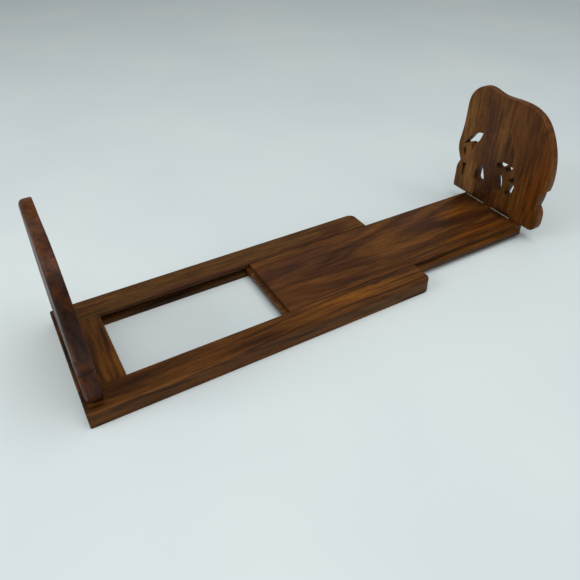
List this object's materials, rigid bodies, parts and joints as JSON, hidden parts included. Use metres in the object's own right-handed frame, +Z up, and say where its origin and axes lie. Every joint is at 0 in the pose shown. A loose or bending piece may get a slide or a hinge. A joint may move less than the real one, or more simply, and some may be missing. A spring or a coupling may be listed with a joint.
{
  "type": "extending book display stand",
  "caption": "Wooden book stand: a board slides in grooved rails, with a hinged, pierced elephant-shaped bookend at each end that stands up or folds flat inwards.",
  "frame": {"origin": "middle of the resting stand's length and width, on the surface that it stands on", "axes": "+X along the stand from the fixed bookend to the sliding one, +Y across towards the elephants' heads, +Z up"},
  "size_m": [0.458, 0.13, 0.1336],
  "materials": {
    "rail_rosewood": "dark brown rosewood with orange streaks, oiled and rubbed to a semi-gloss",
    "cross_rosewood": "lighter golden-brown rosewood, grain across the stand, semi-gloss",
    "board_rosewood": "dark chocolate to reddish rosewood with arched grain, semi-gloss",
    "bookend_rosewood": "brown to golden rosewood with upright bands, semi-gloss",
    "hinge_brass": "dull, slightly tarnished brass",
    "screw_brass": "dull brass"
  },
  "bodies": {
    "base": {"near_rail": "rail_rosewood", "far_rail": "rail_rosewood", "cross_piece": "cross_rosewood", "tie_batten": "rail_rosewood", "cross_screw_1": "screw_brass", "cross_screw_2": "screw_brass", "cross_screw_3": "screw_brass", "cross_screw_4": "screw_brass", "batten_screw_1": "screw_brass", "batten_screw_2": "screw_brass", "batten_screw_3": "screw_brass", "batten_screw_4": "screw_brass", "left_hinge_far_base_leaf": "hinge_brass", "left_hinge_far_pin": "hinge_brass", "left_hinge_far_base_screw_1": "screw_brass", "left_hinge_far_base_screw_2": "screw_brass", "left_hinge_near_base_leaf": "hinge_brass", "left_hinge_near_pin": "hinge_brass", "left_hinge_near_base_screw_1": "screw_brass", "left_hinge_near_base_screw_2": "screw_brass"},
    "slider": {"slider_board": "board_rosewood", "slider_stop_screw": "screw_brass", "right_hinge_far_base_leaf": "hinge_brass", "right_hinge_far_pin": "hinge_brass", "right_hinge_far_base_screw_1": "screw_brass", "right_hinge_far_base_screw_2": "screw_brass", "right_hinge_near_base_leaf": "hinge_brass", "right_hinge_near_pin": "hinge_brass", "right_hinge_near_base_screw_1": "screw_brass", "right_hinge_near_base_screw_2": "screw_brass"},
    "left_bookend": {"left_bookend": "bookend_rosewood", "left_hinge_far_bookend_leaf": "hinge_brass", "left_hinge_far_bookend_screw_1": "screw_brass", "left_hinge_far_bookend_screw_2": "screw_brass", "left_hinge_near_bookend_leaf": "hinge_brass", "left_hinge_near_bookend_screw_1": "screw_brass", "left_hinge_near_bookend_screw_2": "screw_brass"},
    "right_bookend": {"right_bookend": "bookend_rosewood", "right_hinge_far_bookend_leaf": "hinge_brass", "right_hinge_far_bookend_screw_1": "screw_brass", "right_hinge_far_bookend_screw_2": "screw_brass", "right_hinge_near_bookend_leaf": "hinge_brass", "right_hinge_near_bookend_screw_1": "screw_brass", "right_hinge_near_bookend_screw_2": "screw_brass"}
  },
  "joints": [
    {"name": "slider_slide", "type": "slide", "parent": "base", "child": "slider", "axis": [1, 0, 0], "range_m": [-0.1368, 0.085]},
    {"name": "left_fold", "type": "hinge", "parent": "base", "child": "left_bookend", "pos_m": [-0.2131, 0, 0.0144], "axis": [0, 1, 0], "range_deg": [0, 90]},
    {"name": "right_fold", "type": "hinge", "parent": "slider", "child": "right_bookend", "pos_m": [0.2161, 0, 0.0144], "axis": [0, -1, 0], "range_deg": [0, 90]}
  ]
}
